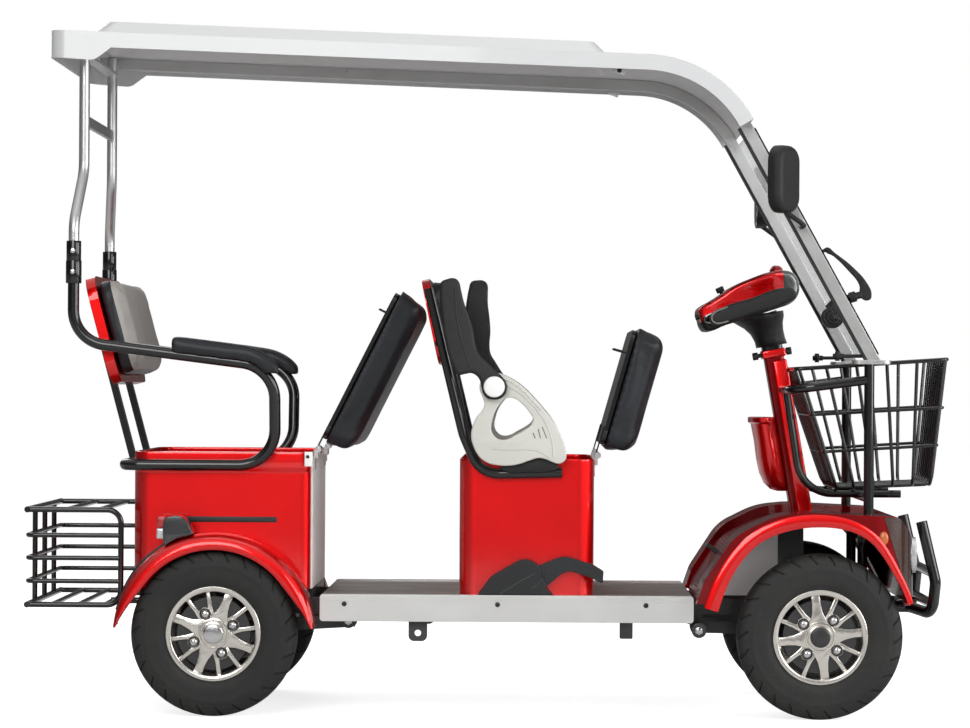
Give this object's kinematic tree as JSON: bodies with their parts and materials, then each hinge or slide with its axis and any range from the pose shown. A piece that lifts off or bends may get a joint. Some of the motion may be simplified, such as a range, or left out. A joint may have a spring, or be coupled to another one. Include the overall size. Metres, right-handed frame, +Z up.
{
  "type": "four-wheel electric scooter",
  "caption": "Roofed four-wheel electric scooter with a driver's seat and a rear bench tipped open, front basket, rear luggage rack and a wrap-round steering handle.",
  "frame": {"origin": "on the ground under the centre of the bounding box", "axes": "+X forward, +Y to the vehicle's left, +Z up"},
  "size_m": [2.285, 0.9049, 1.7149],
  "materials": {
    "red_paint": "gloss",
    "black_steel": "gloss",
    "silver_alloy": "satin",
    "tyre_rubber": "matte",
    "seat_leather": "satin",
    "black_plastic": "satin",
    "motor_iron": "matte",
    "white_plastic": "gloss",
    "grey_plastic": "matte",
    "floor_rubber": "matte",
    "clear_glass": "gloss",
    "mirror_silver": "gloss",
    "lamp_red": "gloss"
  },
  "bodies": {
    "chassis": {"rear_trunk": "red_paint", "seat_box": "red_paint", "rear_fenders": "red_paint", "front_cowl": "red_paint", "steering_column": "red_paint", "column_pouch": "red_paint", "rear_backrest_shell": "red_paint", "driver_backrest_shell": "red_paint", "chassis_frame": "black_steel", "arm_frame": "black_steel", "rear_rack": "black_steel", "front_frame": "black_steel", "front_bumper": "black_steel", "seat_frame": "black_steel", "front_axle": "black_steel", "rear_axle": "black_steel", "seat_hinges": "black_steel", "basket": "black_steel", "brake_controls": "black_steel", "side_sills": "silver_alloy", "roof_rails": "silver_alloy", "roof_posts": "silver_alloy", "backrest_posts": "silver_alloy", "rear_backrest_pad": "seat_leather", "driver_backrest_pad": "seat_leather", "arm_pads": "black_plastic", "mirrors": "black_plastic", "wiper": "black_plastic", "battery_pack": "black_plastic", "drive_motor": "motor_iron", "roof_panel": "white_plastic", "trunk_front_panel": "white_plastic", "armrest_guards": "white_plastic", "footwell_liners": "grey_plastic", "floor_deck": "floor_rubber", "windscreen": "clear_glass", "front_lamps": "clear_glass", "mirror_glasses": "mirror_silver", "tail_lamps": "lamp_red"},
    "steering": {"dash_housing": "red_paint", "handle_bar": "black_plastic", "steering_stem": "black_plastic"},
    "knuckle_right": {"knuckle_right": "black_steel"},
    "knuckle_left": {"knuckle_left": "black_steel"},
    "tie_rod": {"tie_rod": "black_steel"},
    "wheel_front_right": {"tyre_front_right": "tyre_rubber", "rim_front_right": "silver_alloy"},
    "wheel_front_left": {"tyre_front_left": "tyre_rubber", "rim_front_left": "silver_alloy"},
    "wheel_rear_right": {"tyre_rear_right": "tyre_rubber", "rim_rear_right": "silver_alloy"},
    "wheel_rear_left": {"tyre_rear_left": "tyre_rubber", "rim_rear_left": "silver_alloy"},
    "rear_seat": {"rear_cushion": "seat_leather", "rear_cushion_pan": "black_plastic"},
    "driver_seat": {"driver_cushion": "seat_leather", "driver_cushion_pan": "black_plastic"},
    "armrest_right": {"armrest_right": "black_plastic"},
    "armrest_left": {"armrest_left": "black_plastic"}
  },
  "joints": [
    {"name": "steering_turn", "type": "hinge", "parent": "chassis", "child": "steering", "pos_m": [0.718, 0, 0.902], "axis": [-0.1736, 0, 0.9848], "range_deg": [-30, 30]},
    {"name": "knuckle_right_turn", "type": "hinge", "parent": "chassis", "child": "knuckle_right", "pos_m": [0.812, -0.285, 0.203], "axis": [0, 0, 1], "range_deg": [-24, 24]},
    {"name": "knuckle_left_turn", "type": "hinge", "parent": "chassis", "child": "knuckle_left", "pos_m": [0.812, 0.285, 0.203], "axis": [0, 0, 1], "range_deg": [-24, 24]},
    {"name": "tie_rod_turn", "type": "hinge", "parent": "knuckle_right", "child": "tie_rod", "pos_m": [0.742, -0.285, 0.1775], "axis": [0, 0, 1], "range_deg": [-24, 24]},
    {"name": "wheel_front_right_spin", "type": "hinge", "parent": "knuckle_right", "child": "wheel_front_right", "pos_m": [0.812, -0.34, 0.203], "axis": [0, 1, 0], "continuous": true},
    {"name": "wheel_front_left_spin", "type": "hinge", "parent": "knuckle_left", "child": "wheel_front_left", "pos_m": [0.812, 0.34, 0.203], "axis": [0, 1, 0], "continuous": true},
    {"name": "wheel_rear_right_spin", "type": "hinge", "parent": "chassis", "child": "wheel_rear_right", "pos_m": [-0.668, -0.34, 0.203], "axis": [0, 1, 0], "continuous": true},
    {"name": "wheel_rear_left_spin", "type": "hinge", "parent": "chassis", "child": "wheel_rear_left", "pos_m": [-0.668, 0.34, 0.203], "axis": [0, 1, 0], "continuous": true},
    {"name": "rear_seat_tip", "type": "hinge", "parent": "chassis", "child": "rear_seat", "pos_m": [-0.425, 0, 0.652], "axis": [0, 1, 0], "range_deg": [-116.6, 0]},
    {"name": "driver_seat_tip", "type": "hinge", "parent": "chassis", "child": "driver_seat", "pos_m": [0.27, 0, 0.64], "axis": [0, 1, 0], "range_deg": [-105.7, 0]},
    {"name": "armrest_right_fold", "type": "hinge", "parent": "chassis", "child": "armrest_right", "pos_m": [0.013, -0.36, 0.809], "axis": [0, 1, 0], "range_deg": [0, 105]},
    {"name": "armrest_left_fold", "type": "hinge", "parent": "chassis", "child": "armrest_left", "pos_m": [0.013, 0.36, 0.809], "axis": [0, 1, 0], "range_deg": [-13, 92]}
  ],
  "couplings": [
    {"joint": "knuckle_right_turn", "follows": "steering_turn", "ratio": 0.8},
    {"joint": "knuckle_left_turn", "follows": "steering_turn", "ratio": 0.8},
    {"joint": "tie_rod_turn", "follows": "steering_turn", "ratio": -0.8}
  ]
}
